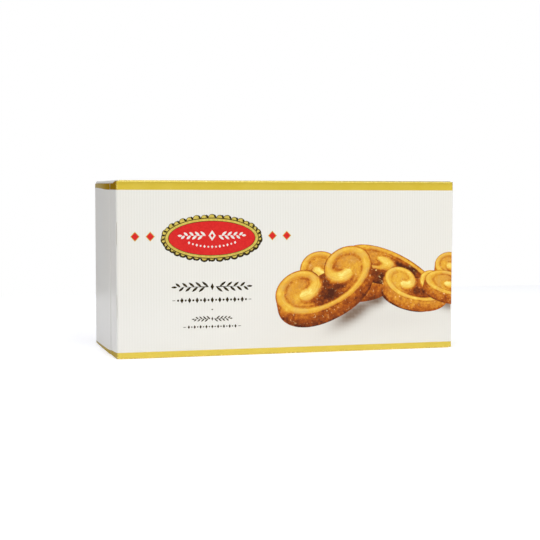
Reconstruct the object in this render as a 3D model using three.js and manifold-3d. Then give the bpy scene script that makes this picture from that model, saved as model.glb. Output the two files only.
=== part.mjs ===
// A shut biscuit carton: one blank of printed paperboard, folded into a sleeve and closed at both ends
// with glued flaps. It is sealed, so it is one solid.
// Millimetres, +Z up. X runs along the long side and the display panel faces -Y.
// The origin is the middle of the base.

import * as THREE from "three";
import { mergeVertices } from "three/addons/utils/BufferGeometryUtils.js";
import Module from "manifold-3d";

// Driving dimensions of the erected carton, fold to fold.
const WIDTH = 191;
const DEPTH = 76;
const HEIGHT = 94;

// The paperboard and how it folds.
const BOARD = 0.45; // thickness of the board
const FOLD_RADIUS = 1; // outside radius of every crease
const SEAM_HEIGHT = 1.3; // raw lower edge of the back panel, over the glue flap

// End flaps. The inner flap hangs on the display panel. The outer flap hangs on the back panel and is glued
// over it.
const TOP_CLEARANCE = 1.6; // from the upper edge of each flap to the top
const FRONT_FOLD_CLEARANCE = 0.4; // the same for the inner flap, close to its fold
const BACK_FOLD_CLEARANCE = 1.4; // the same for the outer flap, at its fold
const BASE_CLEARANCE = 0.3; // from the lower edge of each flap to the base
const SHOULDER_START = 2; // the inner flap keeps its full height this far from its fold
const SHOULDER_END = 10; // and has its clearance from here on
const OUTER_FLAP_LENGTH = 56.6; // from the back fold towards the front
const FLAP_SPRING = 0.05; // how far the free edge of the outer flap springs off the inner flap
const FLAP_ROOT = 6; // how deep each flap solid reaches into the body

// Cut scores: short slits that weaken the upright folds so that the flaps turn square.
const SCORE_LENGTH = 12;
const SCORE_WIDTH = 0.35;
const SCORE_DEPTH = 0.5;
const SCORE_OFFSET = 19; // from the middle of the fold to the middle of a slit

const ARC_STEPS = 8;
const SPRING_STEPS = 20;
const OVERRUN = 2; // how far a cutting shape runs past what it cuts

const FRONT = -DEPTH / 2;
const BACK = DEPTH / 2;
const END = WIDTH / 2;
const REACH = WIDTH + 20; // longer than the carton with its sprung flaps

const wasm = await Module();
wasm.setup();

// A closed three.js geometry as a solid that can be joined and cut.
function solidFrom(geometry) {
  const bare = geometry.clone();
  bare.deleteAttribute("normal");
  bare.deleteAttribute("uv");
  const merged = mergeVertices(bare, 1e-4);
  const mesh = new wasm.Mesh({
    numProp: 3,
    vertProperties: merged.attributes.position.array,
    triVerts: new Uint32Array(merged.index.array),
  });
  return new wasm.Manifold(mesh);
}

function geometryFrom(solid) {
  const mesh = solid.getMesh();
  const geometry = new THREE.BufferGeometry();
  geometry.setAttribute("position", new THREE.BufferAttribute(mesh.vertProperties, 3));
  geometry.setIndex(new THREE.BufferAttribute(mesh.triVerts, 1));
  geometry.computeVertexNormals();
  return geometry;
}

function prism(shape, length) {
  return new THREE.ExtrudeGeometry(shape, {
    depth: length,
    bevelEnabled: false,
    curveSegments: ARC_STEPS,
  });
}

// A cross-section drawn in Y and Z, run along X and centred on X = 0.
function prismAlongX(shape, length) {
  const turn = new THREE.Matrix4().makeBasis(
    new THREE.Vector3(0, 1, 0),
    new THREE.Vector3(0, 0, 1),
    new THREE.Vector3(1, 0, 0),
  );
  return prism(shape, length).applyMatrix4(turn).translate(-length / 2, 0, 0);
}

// A side outline drawn in X and Z, run along Y and centred on Y = 0.
function prismAlongY(shape, length) {
  return prism(shape, length).rotateX(Math.PI / 2).translate(0, length / 2, 0);
}

// A plan outline drawn in X and Y, run up past the base and the top.
function prismUp(shape) {
  return prism(shape, HEIGHT + 2 * OVERRUN).translate(0, 0, -OVERRUN);
}

// The four panels in cross-section. Three corners are round folds. At the lower back corner the base turns
// up as the glue flap, and the back panel comes down outside it and stops at its raw edge.
function panelSection() {
  const r = FOLD_RADIUS;
  const section = new THREE.Shape();
  section.moveTo(FRONT + r, 0);
  section.lineTo(BACK - BOARD - r, 0);
  section.absarc(BACK - BOARD - r, r, r, -Math.PI / 2, 0);
  section.lineTo(BACK - BOARD, SEAM_HEIGHT);
  section.lineTo(BACK, SEAM_HEIGHT);
  section.lineTo(BACK, HEIGHT - r);
  section.absarc(BACK - r, HEIGHT - r, r, 0, Math.PI / 2);
  section.lineTo(FRONT + r, HEIGHT);
  section.absarc(FRONT + r, HEIGHT - r, r, Math.PI / 2, Math.PI);
  section.lineTo(FRONT, r);
  section.absarc(FRONT + r, r, r, Math.PI, Math.PI * 1.5);
  return section;
}

// The body seen from the front: the top and base turn down and up at their ends as the dust flaps,
// which lie one board thickness inside the inner flaps.
function dustFlapOutline() {
  const r = FOLD_RADIUS;
  const e = END - BOARD;
  const outline = new THREE.Shape();
  outline.moveTo(-e + r, 0);
  outline.absarc(e - r, r, r, -Math.PI / 2, 0);
  outline.absarc(e - r, HEIGHT - r, r, 0, Math.PI / 2);
  outline.absarc(-e + r, HEIGHT - r, r, Math.PI / 2, Math.PI);
  outline.absarc(-e + r, r, r, Math.PI, Math.PI * 1.5);
  return outline;
}

// Inner flap in plan: round the front fold, then flat across the end.
function innerFlapPlan(side) {
  const r = FOLD_RADIUS;
  const plan = new THREE.Shape();
  plan.moveTo(side * (END - FLAP_ROOT), FRONT - OVERRUN);
  plan.lineTo(side * (END - r), FRONT - OVERRUN);
  plan.lineTo(side * (END - r), FRONT);
  for (let i = 1; i <= ARC_STEPS; i++) {
    const turn = (i / ARC_STEPS) * (Math.PI / 2);
    plan.lineTo(side * (END - r + r * Math.sin(turn)), FRONT + r - r * Math.cos(turn));
  }
  plan.lineTo(side * END, BACK - FLAP_ROOT);
  plan.lineTo(side * (END - FLAP_ROOT), BACK - FLAP_ROOT);
  return plan;
}

// Outer flap in plan: round the back fold, then rising over the inner flap to its free edge.
function outerFlapPlan(side) {
  const r = FOLD_RADIUS;
  const rise = BOARD + FLAP_SPRING;
  const freeEdge = BACK - OUTER_FLAP_LENGTH;
  const plan = new THREE.Shape();
  plan.moveTo(side * (END - FLAP_ROOT), BACK + OVERRUN);
  plan.lineTo(side * (END - r), BACK + OVERRUN);
  plan.lineTo(side * (END - r), BACK);
  for (let i = 1; i <= ARC_STEPS; i++) {
    const turn = (i / ARC_STEPS) * (Math.PI / 2);
    plan.lineTo(side * (END - r + r * Math.sin(turn)), BACK - r + r * Math.cos(turn));
  }
  for (let i = 1; i <= SPRING_STEPS; i++) {
    const along = i / SPRING_STEPS;
    const lift = rise * Math.sin((along * Math.PI) / 2);
    plan.lineTo(side * (END + lift), BACK - r - along * (OUTER_FLAP_LENGTH - r));
  }
  plan.lineTo(side * (END - FLAP_ROOT), freeEdge);
  return plan;
}

// Inner flap seen from the end: full height at the fold, then a shoulder down to the clearance.
function innerFlapOutline() {
  const outline = new THREE.Shape();
  outline.moveTo(FRONT - OVERRUN, BASE_CLEARANCE);
  outline.lineTo(BACK, BASE_CLEARANCE);
  outline.lineTo(BACK, HEIGHT - TOP_CLEARANCE);
  outline.lineTo(FRONT + SHOULDER_END, HEIGHT - TOP_CLEARANCE);
  outline.lineTo(FRONT + SHOULDER_START, HEIGHT - FRONT_FOLD_CLEARANCE);
  outline.lineTo(FRONT - OVERRUN, HEIGHT - FRONT_FOLD_CLEARANCE);
  return outline;
}

// Outer flap seen from the end: its upper edge falls evenly from its fold to its free edge.
function outerFlapOutline() {
  const freeEdge = BACK - OUTER_FLAP_LENGTH;
  const outline = new THREE.Shape();
  outline.moveTo(BACK + OVERRUN, BASE_CLEARANCE);
  outline.lineTo(BACK + OVERRUN, HEIGHT - BACK_FOLD_CLEARANCE);
  outline.lineTo(freeEdge - OVERRUN, HEIGHT - TOP_CLEARANCE);
  outline.lineTo(freeEdge - OVERRUN, BASE_CLEARANCE);
  return outline;
}

// A flap is what its plan and its end outline have in common.
function flap(plan, outline) {
  return solidFrom(prismUp(plan)).intersect(solidFrom(prismAlongX(outline, REACH)));
}

// One slit on an upright fold, cut in at 45 degrees to the panels.
function cutScore(side, facing, height) {
  const r = FOLD_RADIUS;
  const inset = r - r * Math.SQRT1_2;
  const slit = new THREE.BoxGeometry(2 * SCORE_DEPTH, SCORE_WIDTH, SCORE_LENGTH);
  slit.rotateZ(Math.atan2(facing, side));
  slit.translate(side * (END - inset), facing * (BACK - inset), height);
  return solidFrom(slit);
}

function cartonSolid() {
  let folded = solidFrom(prismAlongY(dustFlapOutline(), DEPTH + 2 * OVERRUN));
  for (const side of [-1, 1])
    folded = folded
      .add(flap(innerFlapPlan(side), innerFlapOutline()))
      .add(flap(outerFlapPlan(side), outerFlapOutline()));
  let carton = solidFrom(prismAlongX(panelSection(), REACH)).intersect(folded);
  for (const side of [-1, 1])
    for (const facing of [-1, 1])
      for (const offset of [-SCORE_OFFSET, SCORE_OFFSET])
        carton = carton.subtract(cutScore(side, facing, HEIGHT / 2 + offset));
  return carton;
}

// Off-white coated board with a satin print finish.
function printedBoard() {
  return new THREE.MeshStandardMaterial({ color: 0xece8e0, roughness: 0.5, metalness: 0 });
}

const carton = new THREE.Mesh(geometryFrom(cartonSolid()), printedBoard());
carton.name = "carton";

const part = new THREE.Group();
part.add(carton);

export default part;
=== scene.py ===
# %% [markdown]
# # A shut biscuit carton
#
# The real thing is one sheet of thin white board. A press prints it flat, a die cuts and creases it, and a
# machine folds it into a sleeve and glues the flaps down over both ends. This lesson makes it the same way:
# thin panels and flaps with real thickness and round folds, and a print that is laid out on the flat sheet.
#
# The solid model of the carton is loaded first. It says where everything is and is never moved or changed.
# The board that is modelled here takes its place in the picture.

# %% Load the solid carton
import math

import bmesh
import bpy
import numpy as np
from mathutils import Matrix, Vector
from mathutils.geometry import delaunay_2d_cdt


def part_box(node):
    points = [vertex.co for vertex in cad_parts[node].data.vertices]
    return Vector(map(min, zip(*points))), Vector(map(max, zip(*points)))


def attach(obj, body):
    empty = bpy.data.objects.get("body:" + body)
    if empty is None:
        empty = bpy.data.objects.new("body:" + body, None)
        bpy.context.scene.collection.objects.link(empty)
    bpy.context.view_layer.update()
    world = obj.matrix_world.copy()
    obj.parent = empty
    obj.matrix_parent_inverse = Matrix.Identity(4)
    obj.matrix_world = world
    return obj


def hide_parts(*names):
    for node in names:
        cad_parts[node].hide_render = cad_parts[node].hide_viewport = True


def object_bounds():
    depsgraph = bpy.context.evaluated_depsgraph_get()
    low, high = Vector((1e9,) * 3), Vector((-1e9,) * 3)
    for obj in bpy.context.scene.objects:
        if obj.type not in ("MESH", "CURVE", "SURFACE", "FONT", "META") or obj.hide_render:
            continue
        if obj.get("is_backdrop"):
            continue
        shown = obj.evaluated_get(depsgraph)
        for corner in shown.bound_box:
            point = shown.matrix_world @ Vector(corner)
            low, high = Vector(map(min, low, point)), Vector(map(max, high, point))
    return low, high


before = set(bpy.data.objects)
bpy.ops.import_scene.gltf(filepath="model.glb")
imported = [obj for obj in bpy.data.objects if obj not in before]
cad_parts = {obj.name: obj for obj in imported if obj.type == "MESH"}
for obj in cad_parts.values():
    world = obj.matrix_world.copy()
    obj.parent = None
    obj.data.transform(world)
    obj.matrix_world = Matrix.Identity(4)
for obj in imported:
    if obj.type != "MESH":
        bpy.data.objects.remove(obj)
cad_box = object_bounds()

MM = 0.001  # everything below is in millimetres, and turns into metres when a mesh is made

low_corner, high_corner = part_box("carton")
DEPTH = (high_corner.y - low_corner.y) / MM
HEIGHT = (high_corner.z - low_corner.z) / MM
WIDTH = 191.0  # fold to fold, while the solid's box also takes in the sprung end flaps
END = WIDTH / 2
print(f"carton {WIDTH:.0f} x {DEPTH:.0f} x {HEIGHT:.0f} mm, fold to fold")

# %% [markdown]
# ## Camera
#
# A pack is best shown through a long lens from a little to one side, so that the display panel is nearly
# square on and one end shows as a narrow strip. The camera stands about 0.7 m off, just below the height of
# the lid, so the top panel isn't seen at all. An 81 mm lens on a 36 mm sensor gives that flat, calm view.

# %% Camera
CAMERA_PLACE = Vector((-196.44, -671.79, 87.43))
CAMERA_TURN = (86.389, -0.085, -16.226)  # degrees about X, Y and Z
LENS_MM = 81.49
SENSOR_MM = 36.0

camera_data = bpy.data.cameras.new("camera")
camera_data.lens = LENS_MM
camera_data.sensor_width = SENSOR_MM
camera_data.clip_start = 0.01
camera = bpy.data.objects.new("camera", camera_data)
camera.location = CAMERA_PLACE * MM
camera.rotation_euler = [math.radians(angle) for angle in CAMERA_TURN]
bpy.context.scene.collection.objects.link(camera)
bpy.context.scene.camera = camera
print(f"camera {CAMERA_PLACE.length / 1000:.2f} m from the foot of the carton")

# %% [markdown]
# ## Colours
#
# A designer picks colours as they look on screen, from 0 to 255. Blender's shaders work in linear light
# instead, so each colour is converted once, by the standard curve.

# %% Colour helper
def colour(red, green, blue):
    def linear(level):
        share = level / 255
        return share / 12.92 if share <= 0.04045 else ((share + 0.055) / 1.055) ** 2.4

    return (linear(red), linear(green), linear(blue), 1.0)


WHITE = colour(255, 255, 255)
print(f"a middle grey, 128 on screen, is {colour(128, 128, 128)[0]:.2f} in linear light")

# %% [markdown]
# ## A short way to wire a finish
#
# Every surface here gets a finish made of shader nodes. Writing out each node and link takes many lines, so
# this small class adds a node, plugs in its inputs and hands back its output. A finish then reads like a
# recipe: measure something, change it, mix two colours by it.

# %% Finish
class Finish:
    def __init__(self, name, roughness=0.5, specular=0.5):
        self.material = bpy.data.materials.new(name)
        self.material.use_nodes = True
        self.tree = self.material.node_tree
        self.shader = self.tree.nodes["Principled BSDF"]
        self.shader.inputs["Roughness"].default_value = roughness
        self.shader.inputs["Specular IOR Level"].default_value = specular

    def plug(self, value, socket):
        if isinstance(value, bpy.types.NodeSocket):
            self.tree.links.new(value, socket)
        else:
            socket.default_value = value

    def node(self, kind, inputs=None, output=0, **settings):
        made = self.tree.nodes.new(kind)
        for name, value in settings.items():
            setattr(made, name, value)
        for key, value in (inputs or {}).items():
            self.plug(value, made.inputs[key])
        return made.outputs[output]

    def math(self, operation, first, second=0.0, third=0.0):
        inputs = {0: first, 1: second, 2: third}
        return self.node("ShaderNodeMath", inputs, operation=operation)

    def blend(self, share, first, second):
        """A number that goes from the first to the second."""
        return self.math("MULTIPLY_ADD", share, self.math("SUBTRACT", second, first), first)

    def place(self):
        """Where a point is on the carton, in millimetres."""
        metres = self.node("ShaderNodeTexCoord", output="Object")
        return self.node("ShaderNodeVectorMath", {0: metres, "Scale": 1 / MM}, operation="SCALE")

    def chart(self, name):
        """The two numbers that a mesh carries in a UV map."""
        pair = self.node("ShaderNodeUVMap", uv_map=name)
        split = self.node("ShaderNodeSeparateXYZ", {0: pair}).node
        return split.outputs[0], split.outputs[1]

    def noise(self, at, size, detail=2.0):
        """Soft random spots, about as large as size in millimetres."""
        return self.node("ShaderNodeTexNoise", {"Vector": at, "Scale": 1 / size, "Detail": detail})

    def steps(self, value, low, high, out_low=0.0, out_high=1.0):
        """A smooth change from one value to another, as the input goes from low to high."""
        inputs = {0: value, 1: low, 2: high, 3: out_low, 4: out_high}
        return self.node("ShaderNodeMapRange", inputs, interpolation_type="SMOOTHSTEP")

    def ramp(self, value, stops):
        made = self.node("ShaderNodeValToRGB", {0: value}).node
        elements = made.color_ramp.elements
        while len(elements) < len(stops):
            elements.new(0.5)
        for element, (at, paint) in zip(elements, stops):
            element.position = at
            element.color = paint
        return made.outputs[0]

    def mix(self, share, first, second):
        inputs = {0: share, 6: first, 7: second}
        return self.node("ShaderNodeMix", inputs, output=2, data_type="RGBA")

    def bump(self, height, tall, under=None):
        """Relief as tall as the given millimetres. Under is another bump that it lies on."""
        inputs = {"Height": height, "Distance": tall * MM}
        if under is not None:
            inputs["Normal"] = under
        return self.node("ShaderNodeBump", inputs)

    def complete(self, **sockets):
        for name, value in sockets.items():
            self.plug(value, self.shader.inputs[name.replace("_", " ")])
        print("finish:", self.material.name)
        return self.material


# %% [markdown]
# ## Table
#
# The carton stands on a plain white table. It glows a little, and more so far from the carton, where the
# lights hardly reach, so that it looks white right out to its edge.

# %% White of the table
TABLE_GLOW = 0.30  # near the carton
FAR_GLOW = 1.0
GLOW_STARTS = 600.0  # how far from the carton the glow begins to grow
GLOW_FULL = 1700.0


def table_top():
    finish = Finish("table_white", roughness=0.7, specular=0.2)
    place = finish.place()
    paint = finish.mix(finish.noise(place, 400), colour(247, 247, 247), colour(250, 250, 250))
    away = finish.node("ShaderNodeVectorMath", {0: place}, output=1, operation="LENGTH")
    glow = finish.steps(away, GLOW_STARTS, GLOW_FULL, TABLE_GLOW, FAR_GLOW)
    return finish.complete(Base_Color=paint, Emission_Color=WHITE, Emission_Strength=glow)


TABLE_WHITE = table_top()

# %% [markdown]
# The table is a plain slab, which ends a forearm's length behind the carton. Its far edge is mirrored, very
# blurred, in the satin varnish of the end flaps: below that edge they are brighter than above it.

# %% Table
TABLE_REACH = 2600.0  # to the left, to the right and to the front
TABLE_FAR = 375.0
TABLE_THICK = 25.0


def make_table():
    corners = [
        (-TABLE_REACH, -TABLE_REACH),
        (TABLE_REACH, -TABLE_REACH),
        (TABLE_REACH, TABLE_FAR),
        (-TABLE_REACH, TABLE_FAR),
    ]
    shape = bmesh.new()
    top = [shape.verts.new((x * MM, y * MM, 0)) for x, y in corners]
    under = [shape.verts.new((x * MM, y * MM, -TABLE_THICK * MM)) for x, y in corners]
    shape.faces.new(top)
    shape.faces.new(reversed(under))
    for i in range(4):
        j = (i + 1) % 4
        shape.faces.new((top[j], top[i], under[i], under[j]))
    mesh = bpy.data.meshes.new("table")
    shape.to_mesh(mesh)
    shape.free()
    mesh.materials.append(TABLE_WHITE)
    table = bpy.data.objects.new("table", mesh)
    bpy.context.scene.collection.objects.link(table)
    table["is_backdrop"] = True


make_table()
print(f"the table ends {TABLE_FAR - DEPTH / 2:.0f} mm behind the carton")

# %% [markdown]
# ## Lights
#
# Product light is soft and comes from large sources: one to the front right of the carton for the display
# panel, and one overhead that makes the table bright. The end of the carton is lit only by what the table
# throws back, which is why it looks a shade darker.

# %% Soft lights
CARTON_MIDDLE = (0.0, 0.0, HEIGHT / 2)
WARM = (1.0, 1.0, 0.9)
COOL = (0.925, 0.94, 1.0)


def soft_light(name, place, aim, size, watts, tint):
    data = bpy.data.lights.new(name, "AREA")
    data.shape = "RECTANGLE"
    data.size, data.size_y = (length * MM for length in size)
    data.energy = watts
    data.color = tint
    light = bpy.data.objects.new(name, data)
    light.location = Vector(place) * MM
    towards = (Vector(aim) - Vector(place)).normalized()
    light.rotation_euler = towards.to_track_quat("-Z", "Y").to_euler()
    light.visible_camera = False
    bpy.context.scene.collection.objects.link(light)
    print(f"{name}: {size[0]} x {size[1]} mm, {watts} W")


soft_light("front_softbox", (600, -1150, 950), CARTON_MIDDLE, size=(1300, 900), watts=10.45, tint=WARM)
soft_light("overhead_softbox", (-250, -150, 1500), (0, -150, 0), size=(1600, 1600), watts=25.0, tint=COOL)

# %% [markdown]
# A white room would light the carton from all sides and wash out its shape. So the room is white only to the
# camera, and nearly dark to every other ray. Two backgrounds are mixed by asking each ray where it comes
# from. Colours then go to the screen by the plain standard curve.

# %% White room
ROOM_LIGHT = 0.03


def white_room():
    world = bpy.data.worlds.new("white_studio")
    world.use_nodes = True
    tree = world.node_tree
    seen = tree.nodes["Background"]
    room = tree.nodes.new("ShaderNodeBackground")
    for background in (seen, room):
        background.inputs["Color"].default_value = WHITE
    room.inputs["Strength"].default_value = ROOM_LIGHT
    rays = tree.nodes.new("ShaderNodeLightPath")
    either = tree.nodes.new("ShaderNodeMixShader")
    tree.links.new(rays.outputs["Is Camera Ray"], either.inputs[0])
    tree.links.new(room.outputs[0], either.inputs[1])
    tree.links.new(seen.outputs[0], either.inputs[2])
    tree.links.new(either.outputs[0], tree.nodes["World Output"].inputs["Surface"])
    return world


scene = bpy.context.scene
scene.view_settings.view_transform = "Standard"
scene.view_settings.look = "None"
scene.world = white_room()
print(f"the white room lights with {ROOM_LIGHT:.0%} of what it shows")

# %% [markdown]
# ## How board folds
#
# Board can't stretch, so a folded panel is easy to describe: walk along the printed face, and note how far
# each stretch goes and how much it turns on the way. A flat panel is a long stretch with no turn, and a
# crease is a very short one that turns 90 degrees. The same walk, a board's thickness further in, gives the
# inside.
#
# `folded_strip` takes such a list of stretches and gives back a function. Ask it for a distance along the
# strip, a place across it and a depth under the printed face, and it answers with a point in space.

# %% Folded strip
BOARD = 0.45  # thickness of the board
FOLD_RADIUS = 1.0  # outside radius of a crease
QUARTER = math.pi / 2
FOLD_LENGTH = FOLD_RADIUS * QUARTER


def walk(moves, distance):
    """Where a walker is after that distance, as (forward, up) and the way that the printed face looks."""
    here = np.zeros(2)
    heading = 0.0  # turns downwards, away from the printed face
    left = distance
    for k, (length, turn) in enumerate(moves):
        step = left if k == len(moves) - 1 else min(left, length)
        bend = turn * step / length
        middle = heading + bend / 2
        chord = step if turn == 0 else 2 * (length / turn) * math.sin(bend / 2)
        here = here + chord * np.array([math.cos(middle), -math.sin(middle)])
        heading += bend
        left -= step
        if left <= 0:
            break
    return here, np.array([math.sin(heading), math.cos(heading)])


def folded_strip(origin, forward, up, across, moves):
    origin, forward, up, across = (np.array(v, float) for v in (origin, forward, up, across))

    def place(distance, sideways, depth=0.0):
        (ahead, above), (face_ahead, face_above) = walk(moves, distance)
        ahead -= face_ahead * depth
        above -= face_above * depth
        return origin + forward * ahead + up * above + across * sideways

    return place


print(f"one fold takes {FOLD_LENGTH:.2f} mm of board")

# %% [markdown]
# ## Grid lines
#
# A mesh of board needs grid lines close together in a fold and far apart on the flat. Three small helpers
# make such lists: evenly spaced values, the same values further on, and several lists end to end.

# %% Runs of values
def spread(start, stop, step):
    """Evenly spaced values from start to stop, about a step apart."""
    count = max(1, round(abs(stop - start) / step))
    return [start + (stop - start) * k / count for k in range(count + 1)]


def shifted(values, start):
    return [start + value for value in values]


def chained(*runs):
    """Several runs of values, end to end, without doubling the value where two meet."""
    values = list(runs[0])
    for run in runs[1:]:
        values += run[1:]
    return values


ARC_STEPS = 4  # grid steps in half a fold
fold_run = spread(0, FOLD_LENGTH / 2, FOLD_LENGTH / 2 / ARC_STEPS)
print("grid lines over half a fold, mm:", [round(value, 2) for value in fold_run])

# %% [markdown]
# ## From strip to sheet of board
#
# A sheet has a printed face, a plain inside and raw edges all round. `board_piece` lays a grid over the
# strip, makes the outer and inner skins from it, and closes every open border with a narrow wall. Cells can
# be left out, which cuts a slit right through the board, with walls of its own. So each piece is closed.
#
# First comes the last step, which every piece needs: turning loose faces into an object. Its faces are shaded
# smooth, so that folds look round, except where two meet at more than 35 degrees, as along a cut edge.

# %% Adding a piece
SHARP_EDGE = math.radians(35)


def add_piece(name, shape, finishes):
    """Turn a finished bmesh into an object of the carton."""
    bmesh.ops.recalc_face_normals(shape, faces=shape.faces)
    for face in shape.faces:
        face.smooth = True
    mesh = bpy.data.meshes.new(name)
    shape.to_mesh(mesh)
    shape.free()
    mesh.set_sharp_from_angle(angle=SHARP_EDGE)
    for finish in finishes:
        mesh.materials.append(finish)
    piece = bpy.data.objects.new(name, mesh)
    bpy.context.scene.collection.objects.link(piece)
    return piece


print("edges are sharp from", round(math.degrees(SHARP_EDGE)), "degrees")

# %% [markdown]
# Every corner of the sheet also remembers where it lies on the flat printed sheet, in a UV map named `sheet`.
# The print is drawn by those numbers, so stripes and bands run on round a fold without a seam.

# %% Board piece
def middle(values, k):
    return (values[k] + values[k + 1]) / 2


def board_piece(name, place, distances, levels, on_sheet, finishes, left_out=lambda d, s: False):
    shape = bmesh.new()
    chart = shape.loops.layers.uv.new("sheet")
    where = {}
    skins = []
    for depth in (0.0, BOARD):
        skin = {}
        for i, d in enumerate(distances):
            for j, s in enumerate(levels):
                skin[i, j] = shape.verts.new(Vector(place(d, s, depth)) * MM)
                where[skin[i, j]] = on_sheet(d, s)
        skins.append(skin)
    outer, inner = skins

    def face(corners, finish):
        made = shape.faces.new(corners)
        made.material_index = finish
        for loop in made.loops:
            loop[chart].uv = where[loop.vert]

    kept = {
        (i, j)
        for i in range(len(distances) - 1)
        for j in range(len(levels) - 1)
        if not left_out(middle(distances, i), middle(levels, j))
    }
    for i, j in kept:
        ring = [(i, j), (i + 1, j), (i + 1, j + 1), (i, j + 1)]
        face([outer[k] for k in ring], 0)
        face([inner[k] for k in reversed(ring)], 1)
        for side, (di, dj) in enumerate(((0, -1), (1, 0), (0, 1), (-1, 0))):
            if (i + di, j + dj) not in kept:
                a, b = ring[side], ring[(side + 1) % 4]
                face((outer[a], outer[b], inner[b], inner[a]), 2)
    for vert in [v for v in shape.verts if not v.link_faces]:
        shape.verts.remove(vert)
    return add_piece(name, shape, finishes)


print(f"board {BOARD} mm thick")

# %% [markdown]
# ## The printed sheet
#
# Measured over the board from the middle line of the top panel, the sheet is the same towards the front and
# towards the back. It is off-white, with very fine upright ribs, and has a gold band along every long crease:
# a broad one under the top and a narrow one above the base. Both wrap a little way round their crease.
#
# The bands could be separate strips of foil. They are drawn in the finish of the board instead, because ink
# has no edge that could lift, and a band then bends round the folds with the board.

# %% Places on the printed sheet
LOST_IN_FOLD = 2 * FOLD_RADIUS - FOLD_LENGTH  # a round fold is a shorter way than a square corner
TOP_CREASE = DEPTH / 2 - LOST_IN_FOLD / 2
LOW_CREASE = TOP_CREASE + HEIGHT - LOST_IN_FOLD
END_CREASE = END - LOST_IN_FOLD / 2
RIB_SPACING = 1.45
TOP_BAND = 5.1  # height of the gold under the top edge of the display panel
LOW_BAND = 3.5  # height of the gold over its lower edge
BAND_WRAP = 2.5  # how far both run on round the crease
BAND_SOFT = 0.12  # width of a band's border, which ink blurs a little
OUTER_SIGN = -1.0  # the outer flap's half of the sheet is the one towards the back


def sheet_height(z):
    """Distance from the middle line of the top panel to a height on the display panel."""
    return TOP_CREASE - LOST_IN_FOLD / 2 + HEIGHT - z


print(f"creases {TOP_CREASE:.2f} and {LOW_CREASE:.2f} mm from the middle line of the top panel")

# %% [markdown]
# ## White of the board
#
# Seen close up, coated carton board isn't one white. Fine ribs run up the sheet and the tone drifts a little.
# Towards the base the white is painted a little brighter: painted light.

# %% White of the board
WHITE_RIDGE = colour(236, 234, 229)
WHITE_VALLEY = colour(231, 229, 223)
WHITE_DRIFT = colour(236, 231, 222)
WHITE_FOOT_LIT = colour(238, 236, 232)
DRIFT_SIZE = 60.0
FOOT_LIGHT_STARTS = 42.0  # height at which the painted light towards the base begins
FOOT_LIGHT_ENDS = 4.0


def board_white(finish, place, rib, down):
    board = finish.mix(rib, WHITE_VALLEY, WHITE_RIDGE)
    drift = finish.steps(finish.noise(place, DRIFT_SIZE), 0.3, 0.7, 0.0, 0.35)
    board = finish.mix(drift, board, WHITE_DRIFT)
    # painted light: the white is mixed brighter towards the base
    foot = finish.steps(down, sheet_height(FOOT_LIGHT_STARTS), sheet_height(FOOT_LIGHT_ENDS), 0.0, 0.6)
    return finish.mix(foot, board, WHITE_FOOT_LIT)


# where the painted light towards the base begins
print(f"the white fades from {FOOT_LIGHT_STARTS:.0f} mm downwards")

# %% [markdown]
# ## Gold of the bands
#
# A band is where the distance from the sheet's middle line lies between two values. Its borders are softened
# by a tenth of a millimetre, as ink spreads a little in the board's coating.

# %% Where the gold is
def between(finish, value, low, high):
    """One from low to high and nought elsewhere, with soft borders."""
    half = BAND_SOFT / 2
    rising = finish.steps(value, low - half, low + half)
    falling = finish.steps(value, high - half, high + half, 1.0, 0.0)
    return finish.math("MULTIPLY", rising, falling)


def gold_cover(finish, down, out):
    """The bands, which wrap round the long creases on the panels only."""
    on_panel = finish.math("LESS_THAN", out, END_CREASE - FOLD_LENGTH)
    top = between(finish, down, TOP_CREASE, sheet_height(HEIGHT - TOP_BAND))
    low = between(finish, down, sheet_height(LOW_BAND), LOW_CREASE)
    top_wrap = between(finish, down, TOP_CREASE - BAND_WRAP, TOP_CREASE)
    low_wrap = between(finish, down, LOW_CREASE, LOW_CREASE + BAND_WRAP)
    wraps = finish.math("MULTIPLY", finish.math("ADD", top_wrap, low_wrap), on_panel)
    bands = finish.math("ADD", top, low)
    return finish.math("MINIMUM", finish.math("ADD", bands, wraps), 1.0)


print(f"gold bands {TOP_BAND} and {LOW_BAND} mm high")

# %% [markdown]
# The gold is a metallic ink, so it is treated partly as metal: it takes its light and dark from the room.
# Over the upper crease and along the base it is painted duller, as painted shade. On the flaps it is painted
# a deep brown gold, as painted shade, and on the outer flap a pale painted reflection lies over that, most
# near the fold. One tone after the other is mixed in by its own share.

# %% Tone of the gold
GOLD = colour(245, 216, 87)
GOLD_DEEP = colour(233, 202, 61)
GOLD_SHADED = colour(186, 172, 92)
GOLD_IN_SHADE = colour(150, 111, 6)
GOLD_SHEEN = colour(184, 166, 116)
CREASE_SHADE = 0.7  # share of the painted shade right over the upper crease
CREASE_SHADE_REACH = (0.2, 1.3)  # how far below the crease that share begins to fall, and where it is gone
BASE_SHADE = 0.36  # its share along the base
INNER_FLAP_SHADE = 0.98  # share of the painted shade on the inner flap
OUTER_FLAP_SHADE = (0.70, 0.92)  # its share at the outer flap's fold and at its free edge
FLAP_BASE_SHADE = 0.5  # its share along the base
FOLD_SHEEN = 0.9  # share of the painted reflection at the outer flap's fold
FREE_EDGE = END_CREASE + 56.0  # about where the outer flap ends on the sheet
MID_PANEL = sheet_height(HEIGHT / 2)


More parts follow.
